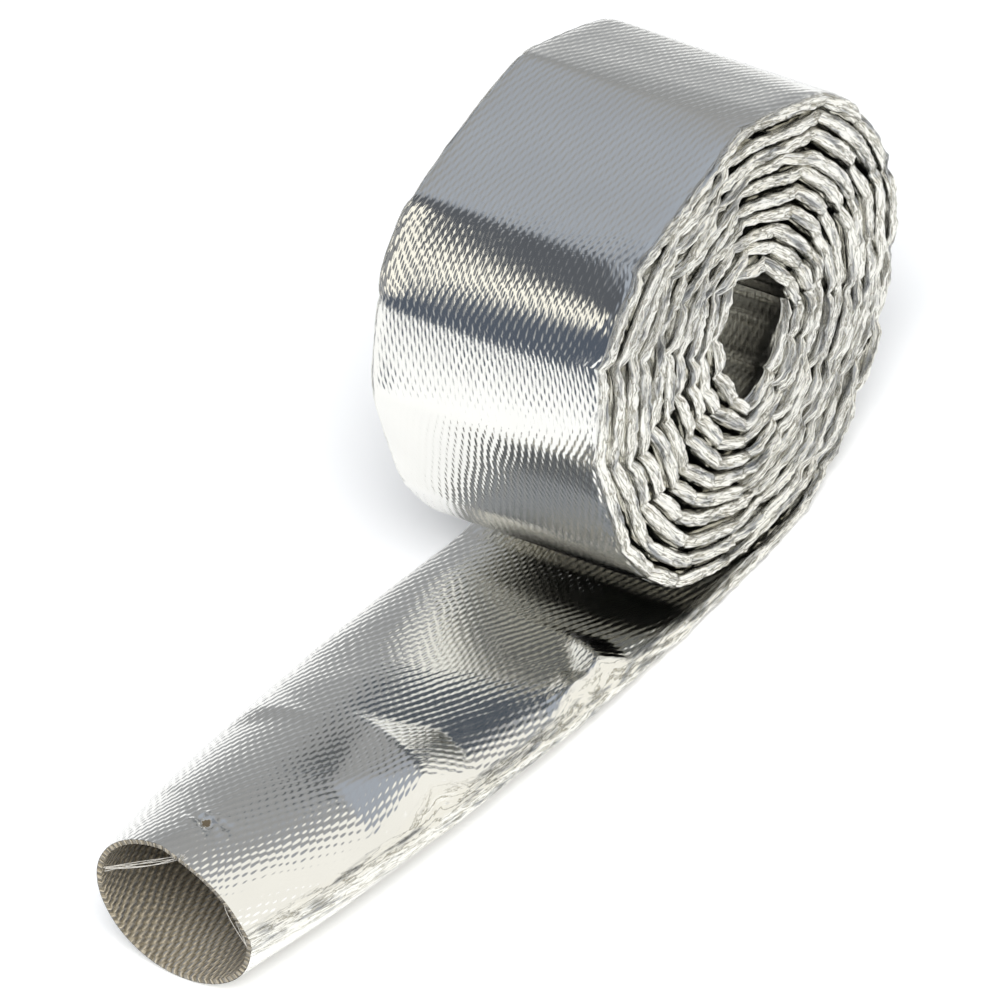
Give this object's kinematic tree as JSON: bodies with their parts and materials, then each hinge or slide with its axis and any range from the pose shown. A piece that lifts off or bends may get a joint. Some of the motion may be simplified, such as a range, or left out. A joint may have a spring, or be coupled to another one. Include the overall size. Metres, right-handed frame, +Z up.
{
  "type": "heat shield sleeve",
  "caption": "Foil-faced woven glass-fibre sleeve, pressed flat and rolled up, with its free end drawn out along the ground and opened to an oval mouth.",
  "frame": {"origin": "bottom centre of the whole object's box", "axes": "+X from the open mouth to the roll, Y along the roll's axis, +Z up from the ground that it lies on"},
  "size_m": [0.1602, 0.0414, 0.073],
  "materials": {
    "foil": "bright foil over a twill weave, creased",
    "glass_fibre": "matt twill weave"
  },
  "bodies": {
    "root": {"sleeve": "foil"}
  },
  "joints": []
}
